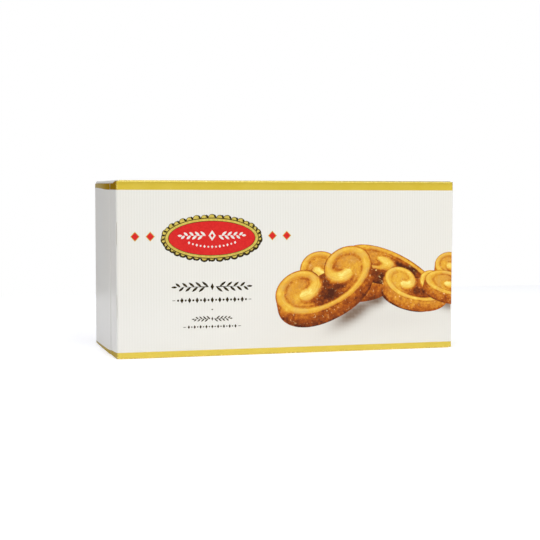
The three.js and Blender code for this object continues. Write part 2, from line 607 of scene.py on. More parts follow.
def gold_tone(finish, place, down, out, over, on_flap):
    paint = finish.mix(finish.noise(place, 9), GOLD_DEEP, GOLD)
    # painted shade: over the upper crease and along the lower half the gold is mixed towards a duller tone
    lower_half = finish.math("GREATER_THAN", down, MID_PANEL)
    shade_start, shade_end = (TOP_CREASE + reach for reach in CREASE_SHADE_REACH)
    crease = finish.steps(down, shade_start, shade_end, CREASE_SHADE, 0.0)
    gold_shade = finish.math("MAXIMUM", crease, finish.math("MULTIPLY", lower_half, BASE_SHADE))
    paint = finish.mix(gold_shade, paint, GOLD_SHADED)
    # painted shade: the flaps' gold is mixed towards a deep brown gold, less along the base
    outer_flap = finish.math("GREATER_THAN", finish.math("MULTIPLY", over, OUTER_SIGN), 0.0)
    flap_shade = finish.blend(outer_flap, INNER_FLAP_SHADE, finish.steps(out, END_CREASE, FREE_EDGE, *OUTER_FLAP_SHADE))
    flap_shade = finish.blend(lower_half, flap_shade, FLAP_BASE_SHADE)
    paint = finish.mix(finish.math("MULTIPLY", on_flap, flap_shade), paint, GOLD_IN_SHADE)
    # painted reflection: a pale grey sheen over the outer flap's gold, strongest at its fold
    sheened = finish.steps(out, END_CREASE, FREE_EDGE, FOLD_SHEEN, 0.0)
    sheened = finish.math("MULTIPLY", sheened, finish.math("MULTIPLY", on_flap, outer_flap))
    return finish.mix(sheened, paint, GOLD_SHEEN)


# how far the painted reflection on the outer flap's gold reaches
print(f"the outer flap's gold is rubbed over {FREE_EDGE - END_CREASE:.0f} mm, less and less")

# %% [markdown]
# ## Wear along the creases
#
# A crease stretches the varnish and the ink, and specks of them crack off. The specks are the high spots of a
# fine noise, and they are kept only within a millimetre of a crease.

# %% Worn creases
WEAR_WIDTH = 0.9  # how far from the middle of a crease it is worn
SPECK_SIZE = 0.7
SPECK_LEVELS = (0.52, 0.72)  # the noise wears nothing under the first and most over the second


def near_crease(finish, value, crease):
    away = finish.math("ABSOLUTE", finish.math("SUBTRACT", value, crease))
    return finish.steps(away, 0, WEAR_WIDTH, 1, 0)


def crease_wear(finish, place, down, out):
    near_top = near_crease(finish, down, TOP_CREASE)
    near_low = near_crease(finish, down, LOW_CREASE)
    near = finish.math("MAXIMUM", near_top, near_low)
    near = finish.math("MAXIMUM", near, near_crease(finish, out, END_CREASE))
    return finish.math("MULTIPLY", near, finish.steps(finish.noise(place, SPECK_SIZE, 4), *SPECK_LEVELS))


print(f"creases are worn {2 * WEAR_WIDTH} mm wide")

# %% [markdown]
# ## Finish of the printed board
#
# Now the print comes together: the white with its printed shadow and its painted light towards the base, the
# gold over it with its painted shade and painted reflection, and the wear last. The board has a satin
# varnish, which is the coat of the shader, and fibres roughen its gloss. The gold on the flaps has less
# varnish and none of the metal's shine.

# %% Printed board
WORN_CARD = colour(240, 238, 232)
WORN_SHARE = 0.5  # how far a speck of wear goes towards that colour, and how much metal it loses
WORN_ROUGHER = 0.25
SHADOW_INK = colour(112, 84, 62)
FLAP_BLEND = 0.8  # the print of a flap takes over within this distance of its crease
GOLD_METALLIC = 0.4
VARNISH = 0.25
VARNISH_ROUGH = 0.18
RUBBED_VARNISH = 0.55  # share of the varnish that is gone from the gold on the flaps
RIB_RELIEF = 0.012
FIBRE_RELIEF = 0.01


def printed_board():
    finish = Finish("printed_board", specular=0.0)
    place = finish.place()
    along, over = finish.chart("sheet")
    down = finish.math("ABSOLUTE", over)
    out = finish.math("ABSOLUTE", along)
    wave = finish.math("SINE", finish.math("MULTIPLY", along, 2 * math.pi / RIB_SPACING))
    rib = finish.math("MULTIPLY_ADD", wave, 0.5, 0.5)
    fibre = finish.noise(place, 0.25, 3)
    on_flap = finish.steps(out, END_CREASE - FLAP_BLEND, END_CREASE + FLAP_BLEND)
    gold = gold_cover(finish, down, out)
    gold_flap = finish.math("MULTIPLY", gold, on_flap)
    wear = crease_wear(finish, place, down, out)
    shade = finish.node("ShaderNodeAttribute", output="Fac", attribute_name="shade")

    paint = finish.mix(shade, board_white(finish, place, rib, down), SHADOW_INK)
    paint = finish.mix(gold, paint, gold_tone(finish, place, down, out, over, on_flap))
    paint = finish.mix(finish.math("MULTIPLY", wear, WORN_SHARE), paint, WORN_CARD)
    rough = finish.math("MULTIPLY_ADD", fibre, 0.10, 0.20)
    thin = finish.math("MAXIMUM", wear, finish.math("MULTIPLY", gold_flap, RUBBED_VARNISH))
    metal = finish.math("MULTIPLY", gold, finish.math("MULTIPLY_ADD", wear, -WORN_SHARE, GOLD_METALLIC))
    relief = finish.bump(fibre, FIBRE_RELIEF, finish.bump(rib, RIB_RELIEF))
    return finish.complete(
        Base_Color=paint,
        Roughness=finish.math("MULTIPLY_ADD", wear, WORN_ROUGHER, rough),
        Metallic=finish.blend(gold_flap, metal, 0.0),
        Coat_Weight=finish.math("MULTIPLY_ADD", thin, -VARNISH, VARNISH),
        Coat_Roughness=VARNISH_ROUGH,
        Normal=relief,
        Coat_Normal=relief,
    )


PRINTED = printed_board()

# %% [markdown]
# ## Finish of the bare board
#
# Inside, the board is uncoated: a warm, dull white with visible fibres and no gloss at all. A cut edge is
# painted a little greyer, as painted shade on the thin raw edge.

# %% Bare board
def bare_board(name, dark, light):
    finish = Finish(name, specular=0.2)
    place = finish.place()
    fibres = finish.noise(place, 0.5, 5)
    clouds = finish.noise(place, 6, 2)
    paint = finish.mix(fibres, dark, light)
    paint = finish.mix(finish.math("MULTIPLY", clouds, 0.4), paint, dark)
    rough = finish.math("MULTIPLY_ADD", fibres, 0.15, 0.78)
    return finish.complete(Base_Color=paint, Roughness=rough, Normal=finish.bump(fibres, 0.03))


BARE = bare_board("bare_board", colour(230, 227, 219), colour(243, 241, 235))
# painted shade: the raw edges get a slightly greyer white than the inside
SHADED_CUT_EDGE = bare_board("shaded_cut_edge", colour(224, 221, 213), colour(240, 237, 230))
BOARD_FINISHES = (PRINTED, BARE, SHADED_CUT_EDGE)

# %% [markdown]
# ## The sleeve
#
# Four panels make the sleeve: top, front, base and back, which end at the middle of the creases between them.
# The base doesn't stop at its last crease. It turns up inside the back panel as the glue flap, and the back
# panel comes down over it and ends in a raw edge just above the table.
#
# Full packs aren't perfectly flat. The large panels swell by less than half a millimetre, most in the middle
# and not at all at the creases, and that is what makes light drift over them.

# %% Shape of the sleeve
FLAT_END = END - FOLD_RADIUS  # where the flat of a panel stops and the fold of its flap begins
DUST_END = FLAT_END - BOARD  # the top and base stop one board thickness sooner
FLAT_DEPTH = DEPTH - 2 * FOLD_RADIUS
FLAT_HEIGHT = HEIGHT - 2 * FOLD_RADIUS
GLUE_FLAP = 13.0
PANEL_SWELL = 0.35
TOP_SWELL = 0.2
RIPPLE = 0.12  # a slight unevenness of the swell
RIPPLE_REACH = (23.0, 17.0)  # its wavelengths along the panel and down it, divided by 2 pi
RIPPLE_START = 0.6  # where the wave stands in the middle of the panel, in radians

BACK_ROUTE = [(FLAT_DEPTH / 2, 0), (FOLD_LENGTH, QUARTER), (FLAT_HEIGHT, 0)]
FRONT_ROUTE = BACK_ROUTE + [
    (FOLD_LENGTH, QUARTER),
    (FLAT_DEPTH - BOARD, 0),
    (FOLD_LENGTH, QUARTER),
    (GLUE_FLAP, 0),
]


def swell(along, over):
    """How far a panel stands proud at a place on the sheet."""
    across = max(0.0, 1 - (along / FLAT_END) ** 2)
    if over < FLAT_DEPTH / 2:
        return TOP_SWELL * across * (1 - (2 * over / FLAT_DEPTH) ** 2)
    down = over - FLAT_DEPTH / 2 - FOLD_LENGTH
    if not 0 < down < FLAT_HEIGHT:
        return 0.0
    crown = 1 - (2 * down / FLAT_HEIGHT - 1) ** 2
    ripple = RIPPLE * math.sin(along / RIPPLE_REACH[0] + RIPPLE_START) * math.sin(down / RIPPLE_REACH[1])
    return (PANEL_SWELL + ripple) * across * crown


def sleeve(facing, moves):
    """The sheet from the middle line of the top panel, towards the front (-1) or the back (1)."""
    strip = folded_strip((0, 0, HEIGHT), (0, facing, 0), (0, 0, 1), (1, 0, 0), moves)

    def place(over, along, depth=0.0):
        return strip(over, along, depth - swell(along, over))

    return place


to_front = sleeve(-1, FRONT_ROUTE)
to_back = sleeve(1, BACK_ROUTE)


def top_place(over, along, depth=0.0):
    """Over is negative on the back half of the top panel."""
    return to_front(over, along, depth) if over >= 0 else to_back(-over, along, depth)


print(f"the front swells by {swell(0, sheet_height(HEIGHT / 2)):.2f} mm in its middle")

# %% [markdown]
# Each panel now needs its grid lines, from the middle of one crease to the middle of the next. They are close
# together in the folds and two to four millimetres apart on the flat.

# %% Panels of the sleeve
SEAM_HEIGHT = 1.3  # height of the back panel's raw edge
GRID = 2.0

upright = TOP_CREASE + FOLD_LENGTH / 2  # where the fold under the top ends
base_start = LOW_CREASE + FOLD_LENGTH / 2
base_end = base_start + FLAT_DEPTH - BOARD
half_top = chained(spread(0, FLAT_DEPTH / 2, GRID), shifted(fold_run, FLAT_DEPTH / 2))
top_run = [-value for value in reversed(half_top)][:-1] + half_top
front_run = chained(
    shifted(fold_run, TOP_CREASE),
    spread(upright, upright + FLAT_HEIGHT, GRID),
    shifted(fold_run, LOW_CREASE - FOLD_LENGTH / 2),
)
base_run = chained(
    shifted(fold_run, LOW_CREASE),
    spread(base_start, base_end, GRID * 2),
    shifted(fold_run, base_end),
    shifted(fold_run, base_end + FOLD_LENGTH / 2),
    spread(base_end + FOLD_LENGTH, base_end + FOLD_LENGTH + GLUE_FLAP, GRID * 2),
)
back_run = chained(
    shifted(fold_run, TOP_CREASE),
    spread(upright, upright + FLAT_HEIGHT + FOLD_RADIUS - SEAM_HEIGHT, GRID),
)


def sleeve_panel(name, place, facing, distances, half_length):
    levels = spread(-half_length, half_length, GRID)
    return board_piece(
        name, place, distances, levels, lambda over, along: (along, -facing * over), BOARD_FINISHES
    )


panels = {
    "panel_top": sleeve_panel("panel_top", top_place, -1, top_run, DUST_END),
    "panel_front": sleeve_panel("panel_front", to_front, -1, front_run, FLAT_END),
    "panel_base": sleeve_panel("panel_base", to_front, -1, base_run, DUST_END),
    "panel_back": sleeve_panel("panel_back", to_back, 1, back_run, FLAT_END),
}
print("sleeve:", ", ".join(panels))

# %% [markdown]
# ## Dust flaps
#
# At each end the top and the base turn in first, as the dust flaps. They are mostly hidden: only a sliver
# shows between the edge of the carton and the flaps that are glued over them, but without them one could look
# inside.

# %% Dust flaps
DUST_FLAP = 30.0
DUST_CLEARANCE = 1.2  # from a dust flap's side to the inside of the front and back


def dust_flap(side, up):
    level = HEIGHT if up > 0 else 0.0
    moves = [(FOLD_LENGTH, QUARTER), (DUST_FLAP, 0)]
    strip = folded_strip((side * DUST_END, 0, level), (side, 0, 0), (0, 0, up), (0, 1, 0), moves)
    half = DEPTH / 2 - DUST_CLEARANCE
    end = "left" if side < 0 else "right"
    return board_piece(
        f"dust_flap_{end}_{'top' if up > 0 else 'base'}",
        strip,
        chained(
            fold_run,
            shifted(fold_run, FOLD_LENGTH / 2),
            spread(FOLD_LENGTH, FOLD_LENGTH + DUST_FLAP, GRID * 3),
        ),
        spread(-half, half, GRID * 3),
        lambda d, y: (side * (DUST_END + d), y),
        BOARD_FINISHES,
    )


for side in (-1, 1):
    for up in (-1, 1):
        piece = dust_flap(side, up)
        panels[piece.name] = piece
        print("made", piece.name)

# %% [markdown]
# ## End flaps
#
# The inner flap hangs on the display panel and goes in next. The outer flap hangs on the back panel and is
# glued over it. It has a memory of being flat, so it springs off a very little towards its free edge, and it
# shows its raw edge as a thin upright line. The glue press has rounded off that edge.
#
# Both flaps all but reach the base, and stand back from the top: hardly at all at the front fold, and by more
# than a millimetre further on.

# %% Size of the end flaps
INNER_FLAP = 60.0
OUTER_FLAP = 55.6
FLAP_SPRING = BOARD + 0.01  # from the end plane to the outer flap's printed face, at its free edge
SPRING_TURN = 2 * FLAP_SPRING / OUTER_FLAP
BASE_CLEARANCE = 0.3  # from the lower edge of each flap to the base
TOP_CLEARANCE = 1.6  # from the upper edge of each flap to the top, away from its fold
FRONT_FOLD_CLEARANCE = 0.4
BACK_FOLD_CLEARANCE = 1.4
SHOULDER_START = 1.0
SHOULDER_END = 9.0
PRESSED_WIDTH = 6.0  # how far in from its free edge a flap is pressed thinner
PRESSED_DEPTH = 0.32

INNER_ROUTE = [(FOLD_LENGTH, QUARTER), (INNER_FLAP, 0)]
OUTER_ROUTE = [(FOLD_LENGTH, QUARTER - SPRING_TURN), (OUTER_FLAP, SPRING_TURN)]


def inner_clearance(distance):
    share = (distance - FOLD_LENGTH - SHOULDER_START) / (SHOULDER_END - SHOULDER_START)
    share = min(1.0, max(0.0, share))
    return FRONT_FOLD_CLEARANCE + (TOP_CLEARANCE - FRONT_FOLD_CLEARANCE) * share


def outer_clearance(distance):
    share = min(1.0, max(0.0, (distance - FOLD_LENGTH) / OUTER_FLAP))
    return BACK_FOLD_CLEARANCE + (TOP_CLEARANCE - BACK_FOLD_CLEARANCE) * share


def pressed_edge(distance, length, depth):
    """The die and the glue press round off the last of the printed face at a free edge."""
    share = max(0.0, distance - FOLD_LENGTH - length + PRESSED_WIDTH) / PRESSED_WIDTH
    return depth + (BOARD - depth) / BOARD * PRESSED_DEPTH * share**2


print(f"the outer flap overlaps the inner one by {INNER_FLAP + OUTER_FLAP - FLAT_DEPTH:.0f} mm")

# %% [markdown]
# The gold bands are printed a little out of square on the flaps. On the inner flap they narrow away from the
# fold, the lower one most. On the outer flap both are narrow at the fold and widen towards its free edge.

# %% Bands on the flaps
INNER_LOW_FALL = 2.8  # how much lower the inner flap's low band stops at its free edge than at its fold
INNER_TOP_RISE = 0.4  # how much higher its top band starts there
OUTER_LOW = 1.5  # height at which the outer flap's low band stops at its fold
OUTER_LOW_RISE = 1.0  # how much higher it stops at its free edge
OUTER_TOP = 89.0  # height at which its top band starts at its free edge
OUTER_TOP_RISE = 1.2  # how much higher it starts at its fold


def inner_bands(distance):
    """Heights where the low band stops and the top band starts."""
    share = max(0.0, distance - FOLD_LENGTH) / INNER_FLAP
    return LOW_BAND - INNER_LOW_FALL * share, HEIGHT - TOP_BAND + INNER_TOP_RISE * share


def outer_bands(distance):
    share = min(1.0, max(0.0, distance - FOLD_LENGTH) / OUTER_FLAP)
    fall = 0.5 + 0.5 * math.cos(math.pi * share)
    return OUTER_LOW + OUTER_LOW_RISE * share**1.6, OUTER_TOP + OUTER_TOP_RISE * fall


for name, bands in (("inner", inner_bands), ("outer", outer_bands)):
    low, top = bands(FOLD_LENGTH)
    print(f"bands at the fold of the {name} flap: {low:.1f} and {HEIGHT - top:.1f} mm high")

# %% [markdown]
# A flap's fold is weakened by two short cut scores, so that it bends at the right place. The grid has lines
# on both sides of a score, and the cells between them are left out.

# %% Scores and grid of an end flap
SCORE_LENGTH = 12.0
SCORE_WIDTH = 0.35
SCORE_OFFSET = 19.0  # from mid-height to the middle of a score
FLAP_GRID = (1.5, 3.0)  # along a flap and up it
BEND_STEP = FOLD_LENGTH / 8
BORDER = 2.5  # extra grid lines this far from the top and the base


def is_score(distance, level):
    off = abs(abs(level - HEIGHT / 2) - SCORE_OFFSET)
    return abs(distance - FOLD_LENGTH / 2) < SCORE_WIDTH / 2 and off < SCORE_LENGTH / 2


def flap_stations(length):
    """Grid lines from the start of the fold to the free edge."""
    score_start, score_end = (FOLD_LENGTH - SCORE_WIDTH) / 2, (FOLD_LENGTH + SCORE_WIDTH) / 2
    edge = FOLD_LENGTH + length
    return chained(
        spread(0, score_start, BEND_STEP),
        spread(score_start, score_end, SCORE_WIDTH / 2),
        spread(score_end, FOLD_LENGTH, BEND_STEP),
        spread(FOLD_LENGTH, edge - PRESSED_WIDTH, FLAP_GRID[0]),
        spread(edge - PRESSED_WIDTH, edge, PRESSED_WIDTH / 4),
    )


def flap_levels():
    """Grid lines from the base to the top."""
    marks = [HEIGHT / 2 + a * SCORE_OFFSET + b * SCORE_LENGTH / 2 for a in (-1, 1) for b in (-1, 1)]
    knots = [BASE_CLEARANCE, BORDER, *sorted(marks), HEIGHT - BORDER, HEIGHT - FRONT_FOLD_CLEARANCE]
    return chained(*(spread(a, b, FLAP_GRID[1]) for a, b in zip(knots, knots[1:])))


print(f"grid of an end flap: {len(flap_stations(INNER_FLAP))} by {len(flap_levels())} lines")

# %% [markdown]
# With all that settled, a flap is a strip that starts at the end of its panel. Where it stands back from the
# top or the base, its grid lines are moved in. On the sheet they keep the place that they show, so that the
# gold bands come out at their measured heights.

# %% End flaps
def end_flap(name, side, facing, moves, length, clearance, band_edges):
    corner = (side * FLAT_END, facing * DEPTH / 2, 0)
    strip = folded_strip(corner, (side, 0, 0), (0, facing, 0), (0, 0, 1), moves)

    def height(distance, level):
        return min(HEIGHT - clearance(distance), max(BASE_CLEARANCE, level))

    def place(distance, level, depth=0.0):
        return strip(distance, height(distance, level), pressed_edge(distance, length, depth))

    def on_sheet(distance, level):
        low, top = band_edges(distance)
        share = (height(distance, level) - low) / (top - low)
        start, stop = sheet_height(LOW_BAND), sheet_height(HEIGHT - TOP_BAND)
        return side * (FLAT_END + distance), -facing * (start + (stop - start) * share)

    stations, levels = flap_stations(length), flap_levels()
    return board_piece(name, place, stations, levels, on_sheet, BOARD_FINISHES, is_score)


for side, end in ((-1, "left"), (1, "right")):
    name = f"flap_{end}_inner"
    panels[name] = end_flap(name, side, -1, INNER_ROUTE, INNER_FLAP, inner_clearance, inner_bands)
    name = f"flap_{end}_outer"
    panels[name] = end_flap(name, side, 1, OUTER_ROUTE, OUTER_FLAP, outer_clearance, outer_bands)
print("end flaps: 4, with cut scores in their folds")

# %% [markdown]
# ## Ink as a film
#
# Bands that run with the sheet are easy to draw in a finish. An emblem or a picture has outlines of its own,
# so those parts are cut from a film of ink, a few hundredths of a millimetre proud of the board and sunk a
# little into it. Each film is a closed shell, like everything else here.
#
# Shapes are listed in the order in which a press lays them down: a later one covers what is under it, and an
# ink of `None` is a knock-out that lets the board show. `cut_film` triangulates all the outlines together and
# gives every small triangle the ink of the topmost shape over it. Edges then meet exactly, without gaps.

# %% Cutting films
def ink_shape(ink, outline, look=None):
    """Look is only for the pastries: it gives four numbers for a point, which the finish reads."""
    return {"ink": ink, "outline": outline, "look": look}


def dots(low, high, step):
    """Loose points that give a film enough corners to follow the swell of the board."""
    columns = np.arange(low[0] + step / 2, high[0], step)
    rows = np.arange(low[1] + step / 2, high[1], step)
    return [(x, z) for x in columns for z in rows]


def cut_film(shapes, loose, windows=0):
    """Triangles by ink. The first shapes can be windows: nothing is kept outside them."""
    corners = []
    rings = []
    for shape in shapes:
        rings.append(list(range(len(corners), len(corners) + len(shape["outline"]))))
        corners += [Vector(point) for point in shape["outline"]]
    corners += [Vector(point) for point in loose]
    flat, _, triangles, _, _, covers = delaunay_2d_cdt(corners, [], rings, 1, 1e-6, True)
    by_ink = {}
    for triangle, cover in zip(triangles, covers):
        if not cover or (windows and min(cover) >= windows):
            continue
        top = shapes[max(cover)]
        if top["ink"]:
            by_ink.setdefault(top["ink"], []).append((triangle, max(cover)))
    print(f"film: {len(shapes)} shapes cut into {len(triangles)} triangles")
    return [tuple(point) for point in flat], by_ink


# %% [markdown]
# A corner can lie on the border of two shapes that look different. So its looks are worked out once for each
# shape that uses it, and no tone bleeds over a border.

# %% Looks of the corners
def corner_looks(flat, triangles, shapes):
    """For each shape, the four numbers that its finish reads at each corner."""
    looks = {}
    for top in {top for _, top in triangles}:
        used = sorted({corner for triangle, cover in triangles if cover == top for corner in triangle})
        values = np.zeros((len(used), 4))
        if shapes[top]["look"]:
            values = shapes[top]["look"](np.array([flat[corner] for corner in used]))
        looks[top] = dict(zip(used, values))
    return looks


print("looks of a corner: brownness, gloss, and two measures of the dough's layers")

# %% [markdown]
# A cut film is still flat. `film_piece` lays its two skins on the board with the `place` function that it is
# given, closes them with a wall round every border, and writes the looks of each corner into two UV maps.

# %% Film piece
PROUD = 0.03
SUNK = 0.05


def film_piece(name, flat, triangles, shapes, place, finish):
    shape = bmesh.new()
    charts = [shape.loops.layers.uv.new("baked"), shape.loops.layers.uv.new("layers")]
    looks = corner_looks(flat, triangles, shapes)

    def write(face, ring, top):
        for corner, loop in zip(ring, face.loops):
            baked, gloss, along, across = looks[top][corner]
            loop[charts[0]].uv = (baked, gloss)
            loop[charts[1]].uv = (along, across)

    used = {corner for triangle, _ in triangles for corner in triangle}
    outer, inner = (
        {corner: shape.verts.new(Vector(place(*flat[corner], depth)) * MM) for corner in used}
        for depth in (-PROUD, SUNK)
    )
    borders = {}
    for triangle, top in triangles:
        for skin, ring in ((outer, triangle), (inner, triangle[::-1])):
            write(shape.faces.new([skin[corner] for corner in ring]), ring, top)
        for a, b in zip(triangle, triangle[1:] + triangle[:1]):
            if borders.pop((b, a), None) is None:
                borders[a, b] = top
    for (a, b), top in borders.items():
        wall = shape.faces.new((outer[b], outer[a], inner[a], inner[b]))
        write(wall, (b, a, a, b), top)
    print(f"{name}: {len(triangles)} triangles on its printed side")
    return add_piece(name, shape, (finish,))


print(f"a film of ink is {PROUD + SUNK:.2f} mm thick, {PROUD} mm of it over the board")

# %% [markdown]
# ## Inks
#
# All inks lie under the same satin varnish as the board, so they share its gloss. They differ in how evenly
# they cover: the red and the dark brown are nearly solid with a faint mottle where the board's fibres show,
# while the gold's mottle is stronger.

# %% Flat inks
def flat_ink(name, light, dark):
    finish = Finish(name, specular=0.0)
    place = finish.place()
    mottle = finish.noise(place, 0.9, 4)
    clouds = finish.noise(place, 14, 2)
    paint = finish.mix(finish.steps(mottle, 0.35, 0.65), dark, light)
    paint = finish.mix(finish.math("MULTIPLY", clouds, 0.3), paint, light)
    fibre = finish.noise(place, 0.25, 3)
    return finish.complete(
        Base_Color=paint,
        Roughness=finish.math("MULTIPLY_ADD", fibre, 0.1, 0.22),
        Coat_Weight=VARNISH,
        Coat_Roughness=VARNISH_ROUGH,
        Normal=finish.bump(fibre, 0.008),
    )


INKS = {
    "gold_ink": flat_ink("gold_ink", colour(218, 196, 96), colour(196, 172, 70)),
    "red_ink": flat_ink("red_ink", colour(221, 44, 41), colour(211, 37, 36)),
    "dark_ink": flat_ink("dark_ink", colour(66, 54, 30), colour(44, 36, 22)),
}

# %% [markdown]
# ## Outlines for the ornaments
#
# Everything small is made from three outlines: an oval, a lozenge and a leaf. `set_down` turns one to its
# angle and puts it in its place. A branch is a row of leaves on a thin stem.

# %% Oval, lozenge, leaf and branch
LEAF_TILT = 38  # degrees between a leaf and its stem
LEAF_SPACING = 0.42  # from one leaf to the next, as a share of the largest leaf
TIP = 0.6  # how much of the last leaf reaches past the stem


def set_down(points, centre, turn=0.0):
    cos, sin = math.cos(math.radians(turn)), math.sin(math.radians(turn))
    return [(centre[0] + x * cos - z * sin, centre[1] + x * sin + z * cos) for x, z in points]


def oval(centre, half_width, half_height, corners=24):
    angles = [2 * math.pi * k / corners for k in range(corners)]
    return set_down([(half_width * math.cos(a), half_height * math.sin(a)) for a in angles], centre)


def lozenge(centre, half_width, half_height):
    return oval(centre, half_width, half_height, 4)


def leaf(root, length, width, turn):
    """A pointed leaf that starts at its root."""
    shares = [k / 7 for k in range(8)]
    lower = [(length * s, -width / 2 * math.sin(math.pi * s) ** 0.8) for s in shares]
    upper = [(length * s, width / 2 * math.sin(math.pi * s) ** 0.8) for s in shares[-2:0:-1]]
    return set_down(lower + upper, root, turn)


def branch(ink, centre, side, start, stop, length, width, stem):
    """Leaves by turns above and below a thin stem, which runs out from the centre to one side."""

    def along(distance, level=0.0):
        return (centre[0] + side * distance, centre[1] + level)

    outwards = 0 if side > 0 else 180
    stem_end = stop - length * TIP
    stem_line = [along(start, -stem / 2), along(stem_end, 0), along(start, stem / 2)][::side]
    shapes = [ink_shape(ink, stem_line)]
    count = round((stem_end - start) / (length * LEAF_SPACING))
    for k in range(count):
        root = along(start + (stem_end - start) * k / count)
        shorter = length * (1 - 0.3 * k / count)
        tilt = LEAF_TILT if k % 2 else -LEAF_TILT
        shapes.append(ink_shape(ink, leaf(root, shorter, width, outwards + tilt)))
    tip = leaf(along(stem_end - 0.2), length * 0.7, width * 0.9, outwards)
    return shapes + [ink_shape(ink, tip)]


print("a leaf has", len(leaf((0, 0), 1, 1, 0)), "corners")

# %% [markdown]
# ## Frame of the emblem
#
# The emblem is an oval plaque in a gold frame. The frame is a ring of overlapping beads, by turns larger and
# smaller, each with a dark outline, so its rim is scalloped. The gold sits a little high inside each outline,
# which makes the beads look lit from above. Small dark leaves are set between the beads.

# %% Emblem frame
EMBLEM_HALF = (28.0, 12.9)  # half its width and height
FRAME_BEADS = 38
BEAD = 2.35  # radius of the larger beads
SMALLER = 0.86  # size of the others
BEAD_LINE = 0.65  # width of the dark outline
BEAD_LIFT = 0.35
FRAME_INNER = (EMBLEM_HALF[0] - 2.4, EMBLEM_HALF[1] - 2.2)  # half sizes of the gold oval under the beads


def plaque(ink, centre, half, grown=0.0):
    """A smooth oval, made larger or smaller all round."""
    return ink_shape(ink, oval(centre, half[0] + grown, half[1] + grown, 72))


def bead_ring(ink, centre, line, lift):
    shapes = []
    for k in range(FRAME_BEADS):
        angle = 2 * math.pi * (k + 0.5) / FRAME_BEADS
        at = (
            centre[0] + (EMBLEM_HALF[0] - BEAD) * math.cos(angle) - lift / 2,
            centre[1] + (EMBLEM_HALF[1] - BEAD) * math.sin(angle) + lift,
        )
        radius = (BEAD if k % 2 else BEAD * SMALLER) - line
        shapes.append(ink_shape(ink, oval(at, radius, radius, 16)))
    return shapes


def emblem_frame(centre):
    shapes = bead_ring("dark_ink", centre, 0.0, 0.0) + bead_ring("gold_ink", centre, BEAD_LINE, BEAD_LIFT)
    shapes.append(plaque("dark_ink", centre, FRAME_INNER, 0.25))
    shapes.append(plaque("gold_ink", centre, FRAME_INNER, -0.2))
    for k in range(FRAME_BEADS):
        angle = 2 * math.pi * k / FRAME_BEADS
        cos, sin = math.cos(angle), math.sin(angle)
        root = (centre[0] + (FRAME_INNER[0] + 0.1) * cos, centre[1] + (FRAME_INNER[1] + 0.1) * sin)
        turn = math.degrees(math.atan2(sin / FRAME_INNER[1], cos / FRAME_INNER[0]))
        shapes.append(ink_shape("dark_ink", leaf(root, 2.1, 1.1, turn + 30)))
    return shapes


print(f"emblem {2 * EMBLEM_HALF[0]:.0f} x {2 * EMBLEM_HALF[1]:.0f} mm, with {FRAME_BEADS} beads")

# %% [markdown]
# ## Field of the emblem, and lozenges
#
# On the red field, two ears of wheat, a lozenge between them and a row of small beads are knocked out to the
# white of the board. A pair of red lozenges with a fine gold edge stands on either side of the emblem.

# %% Emblem field and lozenges
FIELD_HALF = (23.6, 9.0)
WHEAT_LIFT = 1.4  # the ears of wheat lie this far above the middle
SMALL_BEADS = 6  # beads on each side of the middle one
SMALL_SPACING = 2.1
SMALL_DROP = 4.6  # from the middle of the emblem down to the row
SMALL_CURVE = 0.014  # the row curves up towards both ends
LOZENGE_HALF = (2.05, 2.2)
LOZENGE_EDGE = 0.45
LOZENGE_START = 33.4  # from the middle of the emblem to the first lozenge
LOZENGE_GAP = 8.1
LOZENGE_LIFT = 1.1


def emblem_field(centre):
    shapes = [plaque("dark_ink", centre, FIELD_HALF, 0.3), plaque("red_ink", centre, FIELD_HALF)]
    ear = (centre[0], centre[1] + WHEAT_LIFT)
    for side in (-1, 1):
        shapes += branch(None, ear, side, 3.6, 18.6, 3.6, 1.3, 0.3)
    shapes.append(ink_shape(None, lozenge(ear, 2.0, 2.8)))
    shapes.append(ink_shape("red_ink", lozenge(ear, 0.9, 1.3)))
    for k in range(-SMALL_BEADS, SMALL_BEADS + 1):
        off = SMALL_SPACING * k
        at = (centre[0] + off, centre[1] - SMALL_DROP + SMALL_CURVE * off**2)
        shapes.append(ink_shape(None, oval(at, 0.5, 0.5, 12) if k % 2 else lozenge(at, 0.65, 0.85)))
    return shapes


def lozenge_pair(centre, side):
    shapes = []
    for k in range(2):
        at = (centre[0] + side * (LOZENGE_START + LOZENGE_GAP * k), centre[1] + LOZENGE_LIFT)
        for ink, edge in (("gold_ink", LOZENGE_EDGE), ("red_ink", 0.0)):
            shapes.append(ink_shape(ink, lozenge(at, LOZENGE_HALF[0] + edge, LOZENGE_HALF[1] + edge)))
    return shapes


def emblem_group(centre):
    pairs = lozenge_pair(centre, -1) + lozenge_pair(centre, 1)
    return emblem_frame(centre) + emblem_field(centre) + pairs


print("emblem and lozenges:", len(emblem_group((0.0, 0.0))), "shapes")

# %% [markdown]
# ## Ornament rows
#
# Under the emblem the pack has rows of fine dark ornament: a large spray of leaves, a rule of beads and
# lozenges between two dashes, a single dot, and both again at a smaller size.

# %% Ornament rows
LARGE_SPRAY_Z = 37.4
LARGE_RULE_Z = 30.3
DOT_Z = 25.2
SMALL_SPRAY_Z = 20.2
SMALL_RULE_Z = 16.0
DASH_HALF = (0.9, 0.16)
DASH_ROOM = 3.2  # what a dash and its gap take from the row on each side


def leaf_row(centre, half_width, length, width, stem):
    shapes = [ink_shape("dark_ink", lozenge(centre, width * 0.75, length * 0.42))]
    for side in (-1, 1):
        shapes += branch("dark_ink", centre, side, length * 0.45, half_width, length, width, stem)
    return shapes


def bead_row(centre, half_width, height, count):
    shapes = []
    step = (half_width - DASH_ROOM) / count
    for k in range(-count, count + 1):
        at = (centre[0] + step * k, centre[1])
        bead = oval(at, height * 0.16, height * 0.16, 12)
        shapes.append(ink_shape("dark_ink", bead if k % 2 else lozenge(at, height * 0.26, height * 0.42)))
    for side in (-1, 1):
        at = (centre[0] + side * (half_width - DASH_HALF[0]), centre[1])
        shapes.append(ink_shape("dark_ink", oval(at, *DASH_HALF, 12)))
    return shapes


